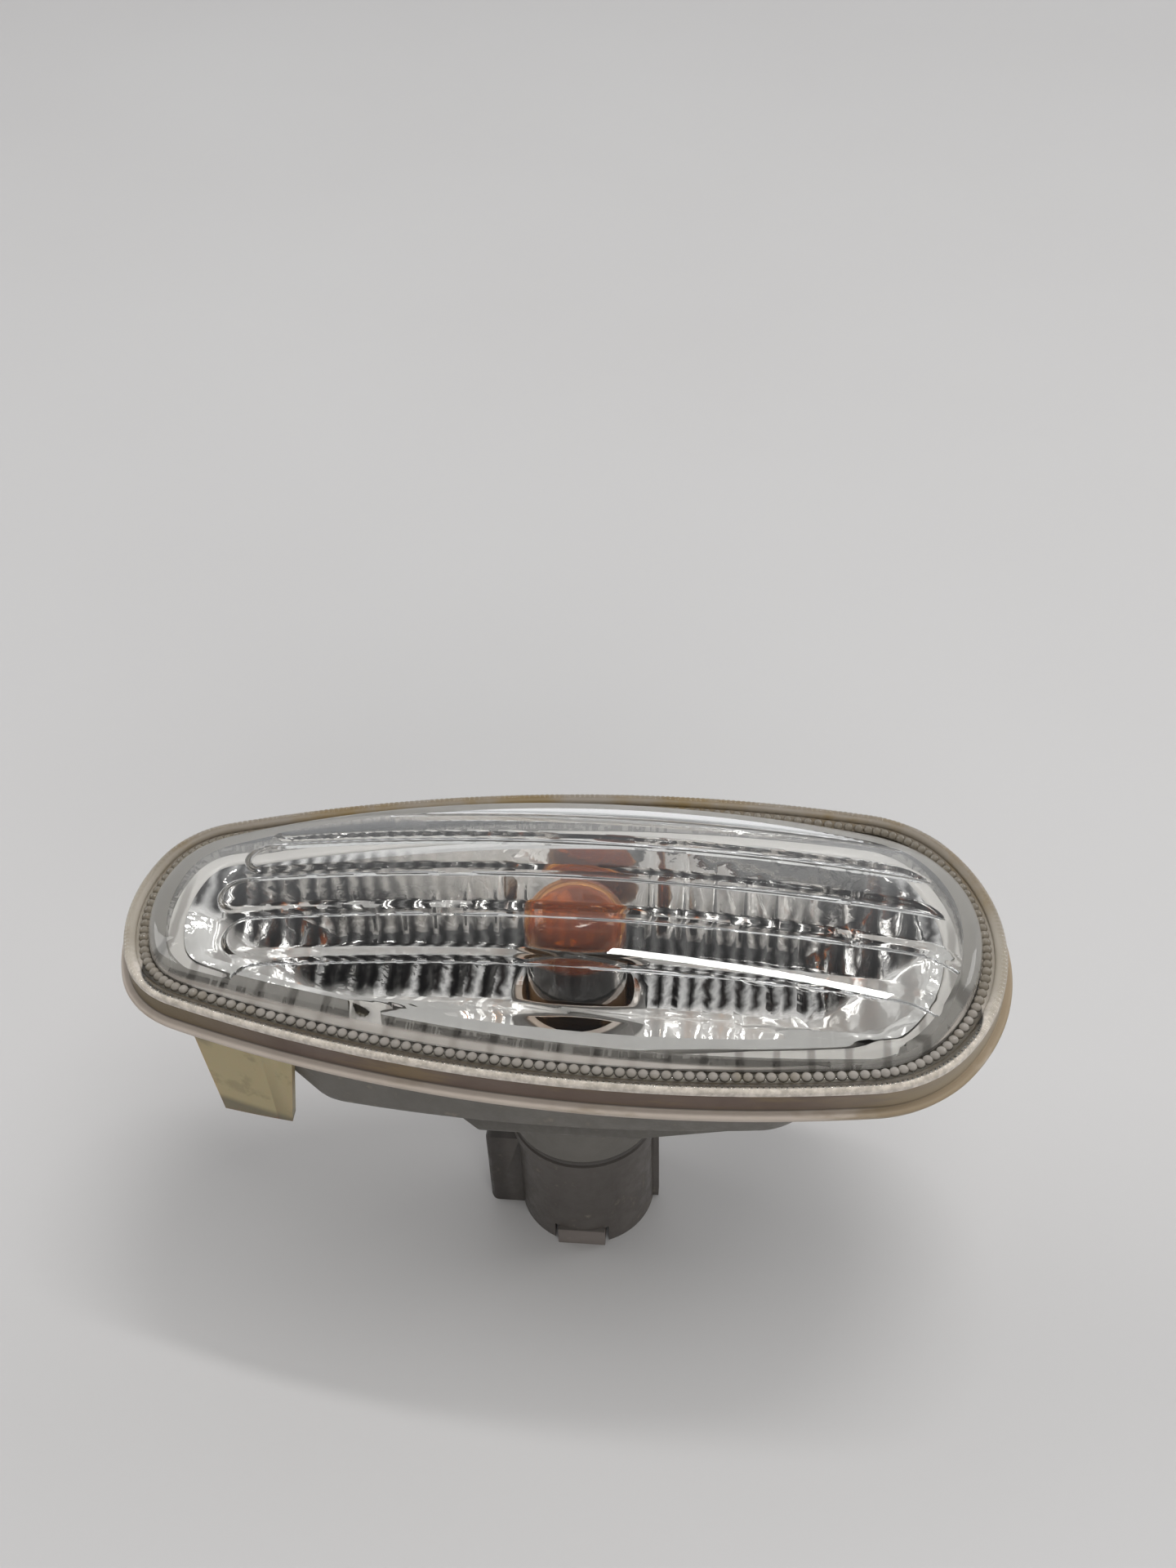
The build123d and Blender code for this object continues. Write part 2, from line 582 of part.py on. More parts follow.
def make_retaining_clip():
    """A saddle that straddles the narrow end of the bowl, with a tapered leg on each side."""
    tip_z = CLIP_FOOT_Z - CLIP_FOOT_DROP
    legs = ring_band(CLIP_OUTER_INSET, CLIP_INNER_INSET, tip_z, CLIP_TOP_Z)
    taper = make_face(Polyline(
        (CLIP_X - CLIP_TOP_WIDTH / 2, CLIP_TOP_Z), (CLIP_X + CLIP_TOP_WIDTH / 2, CLIP_TOP_Z),
        (CLIP_X + CLIP_FOOT_WIDTH / 2, CLIP_FOOT_Z), (CLIP_X - CLIP_FOOT_WIDTH / 2, tip_z),
        close=True,
    ))
    outline = extrude(Plane.XZ * taper, RIM_WIDTH / 2, both=True)
    bridge = slab(
        (CLIP_X - CLIP_BRIDGE_WIDTH / 2, CLIP_X + CLIP_BRIDGE_WIDTH / 2),
        (-RIM_WIDTH / 2, RIM_WIDTH / 2),
        (CLIP_BRIDGE_TOP - CLIP_BRIDGE_THICKNESS, CLIP_BRIDGE_TOP),
    )
    between_legs = extrude(rim(CLIP_OUTER_INSET, CLIP_FOOT_Z), CLIP_TOP_Z - CLIP_FOOT_Z)
    return (legs & outline) + (bridge & between_legs)


def main():
    os.makedirs("parts", exist_ok=True)
    nodes = {
        "rim_gasket": make_rim_gasket,
        "housing": make_housing,
        "lens": make_lens,
        "reflector": make_reflector,
        "bulb_glass": make_bulb_glass,
        "bulb_lead_left": lambda: make_lead(-1),
        "bulb_lead_right": lambda: make_lead(1),
        "bulb_lead_bridge": make_lead_bridge,
        "bulb_filament": make_filament,
        "contact_left": lambda: make_contact(-1),
        "contact_right": lambda: make_contact(1),
        "bulb_holder": make_bulb_holder,
        "holder_seal": make_holder_seal,
        "retaining_clip": make_retaining_clip,
    }
    for name, make in nodes.items():
        export_step(make(), f"parts/{name}.step")


main()
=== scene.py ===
from math import atan2, cos, hypot, pi, radians, sin, sqrt, tau

import bmesh
import bpy
from mathutils import Matrix, Quaternion, Vector


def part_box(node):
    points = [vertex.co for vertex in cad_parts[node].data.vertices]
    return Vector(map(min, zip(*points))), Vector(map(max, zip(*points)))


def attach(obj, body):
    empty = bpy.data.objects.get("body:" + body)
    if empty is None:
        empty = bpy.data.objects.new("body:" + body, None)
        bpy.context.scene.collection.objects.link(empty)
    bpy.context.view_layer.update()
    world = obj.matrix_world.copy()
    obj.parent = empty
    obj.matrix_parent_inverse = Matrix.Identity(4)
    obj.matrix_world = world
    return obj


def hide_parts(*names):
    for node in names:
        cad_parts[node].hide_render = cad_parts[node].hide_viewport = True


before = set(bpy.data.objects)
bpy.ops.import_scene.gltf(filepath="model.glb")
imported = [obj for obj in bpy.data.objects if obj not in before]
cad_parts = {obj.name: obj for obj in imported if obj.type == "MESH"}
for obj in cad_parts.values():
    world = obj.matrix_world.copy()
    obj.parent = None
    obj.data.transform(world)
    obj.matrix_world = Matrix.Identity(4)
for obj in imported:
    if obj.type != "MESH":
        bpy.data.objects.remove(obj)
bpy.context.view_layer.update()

MM = 0.001

# Rim outline of the lamp, seen from the front
RIM_LENGTH = 88 * MM
RIM_WIDTH = 40 * MM
RIM_CENTRE_X = -1.6 * MM
WIDEST_X = 9.4 * MM
SIDE_RADIUS = 150 * MM
END_RADII = (18.5 * MM, 21.6 * MM)
CORNER_RADII = (10.3 * MM, 13.6 * MM)
ARC_SLACK = 0.01
RIM_POINTS = 720

# Rim gasket
LIP_TOP = 1.0 * MM
LIP_WIDTH = 3.4 * MM
LIP_EDGE_RADIUS = 0.35 * MM
UPSTAND_OUTER = 0.8 * MM
UPSTAND_INNER = 1.5 * MM
UPSTAND_TOP = 3.1 * MM
UPSTAND_EDGE = 0.12 * MM

# Lens
LENS_FOOT = 2.2 * MM
GROOVE_TOP = 3.3 * MM
GROOVE_EDGE = 0.15 * MM
BEAD_INNER = 2.0 * MM
BEAD_TOP = 3.8 * MM
BEAD_HEIGHT = 0.35 * MM
DOME_OUTER = 3.3 * MM
DOME_INNER = 5.3 * MM
DOME_TOP = 9.6 * MM
DOME_WALL = 2.0 * MM
DOME_EDGE_RADIUS = 1.2 * MM
DOME_SIDE_DROPS = (2.64 * MM, 1.32 * MM)
CROWN_ACROSS = 32 * MM
CROWN_ALONG = 200 * MM
CROWN_STEPS = 26
ROOF_STEPS = 60
SPINE_ENDS = (-30 * MM, 26 * MM)

# Flutes in the roof inside the lens
FLUTE_PITCH = 5.1 * MM
FLUTE_WIDTH = 4.0 * MM
FLUTE_DEPTH = 0.8 * MM
FLUTES_EACH_SIDE = 2
FLUTE_NARROW_END_X = -33 * MM
FLUTE_NARROW_END_SLOPE = 0.3
FLUTE_BEND_X = 33 * MM
FLUTE_WIDE_END_SLOPE = 0.25
FLUTE_BEND_RADIUS = 7 * MM
FLUTE_BEND_ARC = radians(50)
FLUTE_WALL_RUN = 0.5 * MM

# Knurled band round the foot of the dome, and finer dots on the rim's bead
KNURL_PITCH = 1.07 * MM
KNURL_RADIUS = 0.52 * MM
KNURL_INSET = 2.75 * MM
RIM_DOT_RADIUS = 0.42 * MM
RIM_DOT_INSET = 1.2 * MM
RIM_DOT_Z = 3.5 * MM
RIM_DOTS_PER_KNURL = 2
BEAD_SINK = 0.04 * MM

# Copied pieces: the housing's flange gets more edges, and the barrels are shaded round
MERGE_DISTANCE = 0.002 * MM
COPY_MERGE_DISTANCE = 0.0005 * MM
FLANGE_FROM_Z = 2.0 * MM
LONG_EDGE = 1.5 * MM
LONG_EDGE_CUTS = 9
BARREL_RADII = (7.5 * MM, 8.0 * MM)
BARREL_TOLERANCE = 0.02 * MM
UPRIGHT = 0.05
SHARP_ANGLE = radians(35)
LENS_SHARP_ANGLE = radians(50)

# Where the rim's finish changes: places across the lamp, and depths in mm inside the outline
NEAR_RIM_Y = (-11 * MM, -4 * MM)
FAR_RIM_Y = (-2 * MM, 10 * MM)
# depth of the painted line of shade at the foot of the dome
CREVICE_SHADE_DEPTH = 3.35
# depths of the band inside the dome painted as a reflection, and the height above which the flange's top is
# painted pale as light
MIRRORED_BAND_DEPTH = (3.2, 3.5)
FLANGE_TOP_Z = 2.1 * MM

# The reflector's surface: ripples in its two ends, an easier slope in front, and the dish with its outline
# painted dark as a reflection
RIPPLE_PITCH = 3.3 * MM
RIPPLES_FROM = 22 * MM
RIPPLES_RUN = 3 * MM
NEAR_EASING = 0.3
DISH_RADIUS = 6.6 * MM
DISH_FLAT_RADIUS = 5.5 * MM

# Tones of the bulb's glass, by height
AMBER_FOOT = 1.9 * MM
# height of the band of painted shade on the front of the bulb
SHADE_BAND_Z = 4.8 * MM
# the painted reflection low on the front of the bulb: the height where its dark middle narrows, and its half
# widths
DARK_STEP_Z = -2.8 * MM
DARK_HALF_WIDTHS = (2.7 * MM, 4.0 * MM)
BLUR = 0.3 * MM

# Painted shade on the bulb holder's wing, and painted light on the latch pad at the foot
WING_FROM_X = (-9.5 * MM, -8.0 * MM)
LATCH_TOP = -37.9 * MM
LATCH_HALF = 2.6 * MM

# The photograph's view
PHOTO_HEIGHT = 1920
FOCAL_PIXELS = 2129
CAMERA_ELEVATION = radians(42.73)
CAMERA_ROLL = radians(-2.28)
CAMERA_YAW = radians(-7.03)
CAMERA_SHIFT = (-1.13 * MM, -16.65 * MM)
CAMERA_DISTANCE = 172.6 * MM
SENSOR_MM = 36
NEAREST_SEEN = 0.01

# The room
FLOOR_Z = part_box("bulb_holder")[0].z
FLOOR_HALF = 1.5
PALE_SIDE = (0.1, 0.9, -0.25)
PALE_SIDE_RANGE = (-0.2, 0.6)
ROOM_LEVELS = (0.12, 0.9)
BACKGROUND_LEVEL = 0.56


def paint(red, green, blue):
    """A colour written as it shows on a screen, 0 to 255, as the light that it stands for."""
    parts = []
    for part in (red, green, blue):
        share = part / 255
        parts.append(share / 12.92 if share <= 0.04045 else ((share + 0.055) / 1.055) ** 2.4)
    return (*parts, 1.0)


class Value:
    """A shader socket that holds a number, for use in sums."""

    def __init__(self, nodes, socket):
        self.nodes = nodes
        self.socket = socket

    def _sum(self, operation, *inputs):
        return self.nodes.node("ShaderNodeMath", {"operation": operation}, dict(enumerate(inputs)))

    def __add__(self, other):
        return self._sum("ADD", self, other)

    def __sub__(self, other):
        return self._sum("SUBTRACT", self, other)

    def __mul__(self, other):
        return self._sum("MULTIPLY", self, other)

    def __truediv__(self, other):
        return self._sum("DIVIDE", self, other)

    def __radd__(self, other):
        return self._sum("ADD", other, self)

    def __rsub__(self, other):
        return self._sum("SUBTRACT", other, self)

    def __rmul__(self, other):
        return self._sum("MULTIPLY", other, self)

    def sine(self):
        return self._sum("SINE", self)

    def size(self):
        return self._sum("ABSOLUTE", self)

    def power(self, exponent):
        return self._sum("POWER", self, exponent)


class Nodes:
    """The nodes of a material or of the room, in the making."""

    def __init__(self, owner):
        owner.use_nodes = True
        self.tree = owner.node_tree
        self.tree.nodes.clear()

    def node(self, kind, settings=None, inputs=None, output=0):
        """Adds a node: its settings first, then the values or links of its sockets."""
        made = self.tree.nodes.new(kind)
        for name, setting in (settings or {}).items():
            setattr(made, name, setting)
        for name, value in (inputs or {}).items():
            self.feed(made.inputs[name], value)
        return Value(self, made.outputs[output]) if len(made.outputs) else made

    def feed(self, socket, value):
        if isinstance(value, Value):
            self.tree.links.new(value.socket, socket)
        else:
            socket.default_value = value


class Finish(Nodes):
    """A material in the making."""

    def __init__(self, name, **constants):
        self.material = bpy.data.materials.new(name)
        super().__init__(self.material)
        self.top = self.node("ShaderNodeBsdfPrincipled")
        self.main = self.top.socket.node
        self.output = self.node("ShaderNodeOutputMaterial", None, {"Surface": self.top})
        self.place = self.node("ShaderNodeTexCoord", output="Object")
        self.surface(**constants)

    def surface(self, **values):
        """Feeds sockets of the main shader, each named with _ in place of a space."""
        for name, value in values.items():
            self.feed(self.main.inputs[name.replace("_", " ")], value)

    def axis(self, name):
        return self.node("ShaderNodeSeparateXYZ", None, {0: self.place}, name)

    def rim_depth(self):
        """How far a point of the rim lies inside the outline, in millimetres."""
        return self.node("ShaderNodeAttribute", {"attribute_name": "rim_depth"}, None, "Fac")

    def noise(self, scale, detail=4.0, roughness=0.55, stretch=(1, 1, 1), distortion=0.0):
        """Soft noise from 0 to 1, with a scale in lumps per metre."""
        spot = self.node("ShaderNodeMapping", None, {"Vector": self.place, "Scale": stretch})
        inputs = {
            "Vector": spot, "Scale": scale, "Detail": detail, "Roughness": roughness,
            "Distortion": distortion,
        }
        return self.node("ShaderNodeTexNoise", None, inputs, "Fac")

    def step(self, value, start, end, low=0.0, high=1.0):
        """Goes smoothly from low to high as a value goes from start to end."""
        inputs = {0: value, 1: start, 2: end, 3: low, 4: high}
        return self.node("ShaderNodeMapRange", {"interpolation_type": "SMOOTHSTEP"}, inputs)

    def fall(self, value, start, end):
        """Goes smoothly from 1 to 0 as a value goes from start to end."""
        return self.step(value, start, end, 1.0, 0.0)

    def stripe(self, value, middle, inner, outer):
        """Is 1 where a value is within inner of a middle, and falls to 0 at outer."""
        return self.fall((value - middle).size(), inner, outer)

    def blend(self, share, first, second):
        """A colour from first to second."""
        settings = {"data_type": "RGBA", "clamp_factor": True}
        return self.node("ShaderNodeMix", settings, {0: share, 6: first, 7: second}, 2)

    def bump(self, height, distance, strength=1.0):
        inputs = {"Height": height, "Distance": distance, "Strength": strength}
        return self.node("ShaderNodeBump", None, inputs)

    def cover(self, share, shader):
        """Lays another shader over a share of the surface."""
        self.top = self.node("ShaderNodeMixShader", None, {0: share, 1: self.top, 2: shader})
        self.feed(self.output.inputs["Surface"], self.top)

    def add_matt_layer(self, share, colour):
        inputs = {"Roughness": 0.45, "Base Color": colour}
        self.cover(share, self.node("ShaderNodeBsdfPrincipled", None, inputs))

    def let_shadow_light_through(self, tint):
        """Shadow rays pass the surface with a tint, so that what lies behind it is lit."""
        shadow = self.node("ShaderNodeLightPath", output="Is Shadow Ray")
        self.cover(shadow, self.node("ShaderNodeBsdfTransparent", None, {"Color": tint}))


class Egg:
    """The rim's outline: tangent arcs, mirrored about X. An inset takes the same length off each."""

    def __init__(self):
        side_centre = (WIDEST_X, RIM_WIDTH / 2 - SIDE_RADIUS)
        ends, joins = [], []
        for sign, end_radius, corner_radius in zip((-1, 1), END_RADII, CORNER_RADII):
            end_centre = (sign * (RIM_LENGTH / 2 - end_radius), 0.0)
            corner = self.crossing(
                side_centre, SIDE_RADIUS - corner_radius, end_centre, end_radius - corner_radius, sign
            )
            at_end = self.bearing(end_centre, corner)
            at_side = self.bearing(side_centre, corner)
            tip = 0.0 if sign > 0 else pi
            ends.append([(end_centre, end_radius, tip, at_end), (corner, corner_radius, at_end, at_side)])
            joins.append(at_side)
        left, right = ends
        side = (side_centre, SIDE_RADIUS, joins[1], joins[0])
        back = [(centre, radius, last, first) for centre, radius, first, last in reversed(left)]
        self.arcs = right + [side] + back
        self.lengths = [radius * abs(last - first) for _, radius, first, last in self.arcs]

    @staticmethod
    def crossing(centre_a, radius_a, centre_b, radius_b, side_sign):
        """Where two circles cross, on the side that a sign gives."""
        dx = centre_b[0] - centre_a[0]
        dy = centre_b[1] - centre_a[1]
        gap = hypot(dx, dy)
        along = (radius_a**2 - radius_b**2 + gap**2) / (2 * gap)
        side = sqrt(radius_a**2 - along**2)
        foot = (centre_a[0] + along * dx / gap, centre_a[1] + along * dy / gap)
        options = [
            (foot[0] - side * dy / gap, foot[1] + side * dx / gap),
            (foot[0] + side * dy / gap, foot[1] - side * dx / gap),
        ]
        return max(options, key=lambda point: side_sign * point[0])

    @staticmethod
    def bearing(centre, point):
        return atan2(point[1] - centre[1], point[0] - centre[0])

    def point(self, share, inset):
        """The place at a share of the way round, from the wide end's tip and to the left."""
        share = share % 1.0
        upper = share if share <= 0.5 else 1.0 - share
        distance = 2 * upper * sum(self.lengths)
        for (centre, radius, first, last), length in zip(self.arcs, self.lengths):
            if distance <= length:
                break
            distance -= length
        angle = first + (last - first) * min(1.0, distance / length)
        x = centre[0] + (radius - inset) * cos(angle) + RIM_CENTRE_X
        y = centre[1] + (radius - inset) * sin(angle)
        return Vector((x, y if share <= 0.5 else -y, 0.0))

    def depth(self, x, y):
        """How far inside the outline a place lies."""
        spot = (x - RIM_CENTRE_X, abs(y))
        depths = []
        for centre, radius, first, last in self.arcs:
            angle = self.bearing(centre, spot)
            if min(first, last) - ARC_SLACK <= angle <= max(first, last) + ARC_SLACK:
                depths.append(radius - hypot(spot[0] - centre[0], spot[1] - centre[1]))
        return min(depths, default=RIM_LENGTH)


EGG = Egg()
RIM_ROUND = 2 * sum(EGG.lengths)


def crown(x, y, drop=0.0):
    """The height of the dome's crown, or of a surface that lies under it by a drop."""
    across = CROWN_ACROSS - drop
    along = CROWN_ALONG - drop
    reach = along - across + sqrt(max(across**2 - y * y, 0.0))
    return DOME_TOP - drop - along + sqrt(max(reach**2 - x * x, 0.0))


def at_inset(inset, z):
    """A station of the rim: an outline drawn in by an inset, at a height."""
    def place(share):
        return EGG.point(share, inset) + Vector((0, 0, z))
    return place


def rim_body(bm, stations):
    """Runs a wall round the rim through stations, each of which places the points of one outline."""
    order = bm.verts.layers.float.get("share") or bm.verts.layers.float.new("share")
    ring = bmesh.ops.create_circle(bm, segments=RIM_POINTS, radius=1.0)["verts"]
    for vertex in ring:
        vertex[order] = (atan2(vertex.co.y, vertex.co.x) / tau) % 1.0
        vertex.co = stations[0](vertex[order])
    edges = list({edge for vertex in ring for edge in vertex.link_edges})
    for station in stations[1:]:
        grown = bmesh.ops.extrude_edge_only(bm, edges=edges)["geom"]
        new_ends = {item for item in grown if isinstance(item, bmesh.types.BMVert)}
        for vertex in new_ends:
            vertex.co = station(vertex[order])
        edges = [
            item for item in grown
            if isinstance(item, bmesh.types.BMEdge) and new_ends.issuperset(item.verts)
        ]


def close_up(bm):
    bmesh.ops.remove_doubles(bm, verts=bm.verts, dist=MERGE_DISTANCE)
    bmesh.ops.recalc_face_normals(bm, faces=bm.faces)


def mark_depth(bm):
    """Stores how far each point lies inside the rim's outline, in millimetres."""
    mark = bm.verts.layers.float.new("rim_depth")
    for vertex in bm.verts:
        vertex[mark] = EGG.depth(vertex.co.x, vertex.co.y) / MM


def show(name, bm, body, material, replaces=(), sharp=SHARP_ANGLE):
    """Turns a bmesh into a piece of the object."""
    mesh = bpy.data.meshes.new(name)
    bm.to_mesh(mesh)
    bm.free()
    mesh.shade_smooth()
    mesh.set_sharp_from_angle(angle=sharp)
    if replaces:
        round_the_barrels(mesh)
    mesh.materials.append(material)
    piece = bpy.data.objects.new(name, mesh)
    bpy.context.scene.collection.objects.link(piece)
    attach(piece, body)
    if replaces:
        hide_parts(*replaces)


def round_the_barrels(mesh):
    """Shades the upright barrels about the bulb axis as true cylinders."""
    normals = [corner.vector.copy() for corner in mesh.corner_normals]
    changed = False
    for polygon in mesh.polygons:
        places = [mesh.vertices[number].co for number in polygon.vertices]
        radii = [hypot(place.x, place.y) for place in places]
        if not any(all(abs(r - radius) < BARREL_TOLERANCE for r in radii) for radius in BARREL_RADII):
            continue
        if abs(polygon.normal.z) < UPRIGHT:
            for corner, place in zip(polygon.loop_indices, places):
                normals[corner] = Vector((place.x, place.y, 0)).normalized()
            changed = True
    if changed:
        mesh.normals_split_custom_set(normals)


def copy_of(node):
    """The merged mesh of a node, ready to be dressed."""
    bm = bmesh.new()
    bm.from_mesh(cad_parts[node].data)
    bmesh.ops.remove_doubles(bm, verts=bm.verts, dist=COPY_MERGE_DISTANCE)
    return bm


def dress(node, material):
    """Gives a node of the frame its material."""
    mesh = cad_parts[node].data
    mesh.materials.clear()
    mesh.materials.append(material)


def gasket_rubber():
    """Pale rubber, its lip left light and its wall stained brown, olive at the narrow end and pale
    at the wide end, with painted shade in the corner between them."""
    finish = Finish("gasket_rubber", Specular_IOR_Level=0.35)
    height = finish.axis("Z")
    along = finish.axis("X")
    cloud = finish.noise(160, 5, 0.6)
    streak = finish.noise(90, 4, 0.6, stretch=(1, 1, 5))
    light = finish.blend(cloud, paint(205, 193, 182), paint(176, 163, 150))
    wide_end = finish.step(along, 18 * MM, 42 * MM)
    narrow_end = finish.fall(along, -40 * MM, -24 * MM)
    tea = finish.step(streak + wide_end * 0.28, 0.52, 0.72)
    lip = finish.blend(tea * 0.8, light, paint(138, 120, 90))
    wall = finish.blend(cloud, paint(118, 102, 92), paint(94, 80, 72))
    wall = finish.blend(finish.step(streak + wide_end * 0.2, 0.5, 0.75), wall, paint(128, 110, 84))
    wall = finish.blend(wide_end * 0.75, wall, paint(170, 159, 140))
    wall = finish.blend(narrow_end * 0.8, wall, paint(122, 109, 84))
    colour = finish.blend(finish.step(height, 1.0 * MM, 1.35 * MM), lip, wall)
    # painted shade: a dark line in the corner between the lip and the upstand
    crevice_shade = finish.stripe(height, 1.15 * MM, 0.0, 0.22 * MM)
    colour = finish.blend(crevice_shade * (0.75 - wide_end * 0.6), colour, paint(38, 31, 27))
    grain = finish.noise(2600, 3, 0.6)
    finish.surface(
        Base_Color=colour, Roughness=finish.step(cloud, 0.3, 0.7, 0.42, 0.62),
        Normal=finish.bump(grain + cloud * 2.0, 0.03 * MM, 0.6),
    )
    return finish.material


def clear_plastic(name, tint, roughness=0.0):
    """Clear moulded plastic, a little scuffed."""
    finish = Finish(name, IOR=1.49, Transmission_Weight=1.0, Base_Color=tint)
    scuff = finish.noise(900, 5, 0.65, stretch=(0.3, 1, 1))
    haze = finish.noise(120, 4, 0.6)
    dull = finish.step(scuff * 0.6 + haze * 0.4, 0.52, 0.8, roughness, roughness + 0.05)
    finish.surface(Roughness=dull)
    finish.let_shadow_light_through((0.97, 0.97, 0.96, 1))
    return finish


def lens_plastic():
    """Clear plastic with a painted line of shade at the foot of the dome. A matt layer over the outer bead
    is painted pale on the near side as a highlight and brown on the far side as the gasket seen through
    it, and the dome's foot is painted cream on the near side as light reflected inside its wall."""
    clear = (0.985, 0.985, 0.975, 1)
    finish = clear_plastic("lens_plastic", clear)
    depth = finish.rim_depth()
    height = finish.axis("Z")
    across = finish.axis("Y")
    cloud = finish.noise(150, 5, 0.6)
    fleck = finish.noise(1500, 4, 0.6)
    # painted shade: a dark line where the dome's wall meets the groove
    crevice_shade = finish.stripe(depth, CREVICE_SHADE_DEPTH, 0.1, 0.28) * finish.fall(height, 3.5 * MM, 3.9 * MM)
    finish.surface(Base_Color=finish.blend(crevice_shade * 0.8, clear, paint(70, 62, 56)))
    beyond = finish.step(across, *NEAR_RIM_Y)
    # painted highlight: the outer bead pale on the near side
    near_highlight_tone = finish.blend(finish.step(fleck, 0.3, 0.7), paint(240, 231, 220), paint(194, 185, 174))
    # painted: at the ends and on the far side, the tones of the gasket seen through the clear plastic
    end_tone = finish.blend(cloud, paint(186, 178, 166), paint(156, 146, 128))
    far_tone = finish.blend(finish.step(cloud, 0.4, 0.65), paint(142, 132, 118), paint(132, 112, 76))
    far_tone = finish.blend(finish.step(across, *FAR_RIM_Y), end_tone, far_tone)
    tone = finish.blend(beyond, near_highlight_tone, far_tone)
    # painted light: the dome's foot cream on the near side, as light reflected inside its wall
    tone = finish.blend(finish.step(depth, 3.1, 3.25), tone, paint(222, 212, 202))
    bead = finish.fall(depth - beyond * 2, 1.1, 1.3)
    # where the painted light of the dome's foot lies, on the near side
    wall = finish.step(depth, 3.0, 3.2) * finish.fall(depth, 3.4, 3.6)
    wall = wall * finish.step(height, 3.55 * MM, 3.75 * MM) * (1 - beyond)
    finish.add_matt_layer(bead * 0.8 + wall * 0.5, tone)
    return finish.material


def frosted_plastic():
    """Clear plastic with a matt, slightly dirty surface, pale on the near side. The beads' foot is painted
    dark as shade, and the far side is painted darker and olive, as the brown rim shows through it.
    """
    finish = Finish("frosted_plastic", IOR=1.49, Transmission_Weight=0.45)
    cloud = finish.noise(420, 4, 0.6)
    stain = finish.step(finish.noise(130, 4, 0.6), 0.5, 0.72)
    colour = finish.blend(cloud, paint(214, 207, 198), paint(172, 165, 155))
    # painted shade: the beads dark at their foot, where they meet the groove
    foot = finish.fall(finish.axis("Z"), GROOVE_TOP + 0.05 * MM, GROOVE_TOP + 0.3 * MM)
    colour = finish.blend(foot * 0.8, colour, paint(74, 66, 59))
    # painted: the far side darker and olive, as the brown rim shows through the clear plastic
    beyond = finish.step(finish.axis("Y"), *NEAR_RIM_Y)
    far_tone = finish.blend(cloud, paint(160, 151, 136), paint(140, 130, 113))
    colour = finish.blend(beyond * 0.9, colour, far_tone)
    finish.surface(
        Base_Color=finish.blend(stain * 0.6, colour, paint(148, 134, 104)),
        Roughness=finish.step(cloud, 0.3, 0.7, 0.08, 0.2),
    )
    return finish.material


def mirror_plating():
    """Bright metallised plastic with a slight orange peel, painted dark reflections in strokes on the
    columns of the far half, a painted dark ring at the dish's edge, and a duller near half."""
    finish = Finish("reflector_plating")
    cloud = finish.noise(220, 4, 0.55)
    ripple = finish.noise(700, 3, 0.5)
    along = finish.axis("X")
    across = finish.axis("Y")
    waves = (along * (tau / RIPPLE_PITCH) + cloud * 2).sine() * 0.5 + 0.5
    waves = waves * finish.step(along.size(), RIPPLES_FROM, RIPPLES_FROM + RIPPLES_RUN)
    near_slope = (across - across.size()) / (2 * MM)
    radius = (along.power(2) + across.power(2)).power(0.5)
    dish = finish.step(radius, DISH_FLAT_RADIUS, DISH_RADIUS)
    # painted reflection: a dark ring at the edge of the dish round the bulb
    outline = finish.stripe(radius, DISH_RADIUS, 0.15 * MM, 0.4 * MM)
    tone = finish.blend(cloud, paint(236, 235, 233), paint(214, 212, 209))
    # painted dark reflection on the columns of the far half, in strokes
    shade = finish.step(across, 0.3 * MM, 1.5 * MM) * finish.fall(across, 8 * MM, 11 * MM)
    strokes = (along * (2 * tau / RIPPLE_PITCH) + ripple * 5).sine() * 0.4 + 0.6
    tone = finish.blend(shade * strokes, tone, paint(38, 34, 32))
    height = ripple * 0.03 + waves * 0.3 + near_slope * NEAR_EASING + dish * 0.35
    finish.surface(
        Base_Color=finish.blend(outline * 0.8, tone, paint(40, 37, 35)),
        Roughness=finish.step(cloud, 0.3, 0.7, 0.03, 0.08),
        Metallic=finish.step(across, -1 * MM, 2 * MM, 0.5, 1.0),
        Normal=finish.bump(height, 1.0 * MM),
    )
    return finish.material


class Moulding(Finish):
    """Satin grey moulded plastic or rubber, with dust on it."""

    def __init__(self, name, pale, dark, roughness):
        super().__init__(name, Specular_IOR_Level=0.45)
        self.cloud = self.noise(110, 5, 0.6)
        self.dust = self.noise(520, 4, 0.65)
        grey = self.blend(self.cloud, dark, pale)
        self.colour = self.blend(self.step(self.dust, 0.58, 0.75) * 0.5, grey, paint(146, 138, 126))
        self.matt = self.step(self.dust, 0.3, 0.7, roughness - 0.12, roughness + 0.12)

    def tint(self, share, colour):
        """Lays a colour over a share of what is there."""
        self.colour = self.blend(share, self.colour, colour)

    def finished(self):
        grain = self.bump(self.noise(3800, 2, 0.5), 0.02 * MM, 0.5)
        self.surface(Base_Color=self.colour, Roughness=self.matt, Normal=grain)
        return self.material


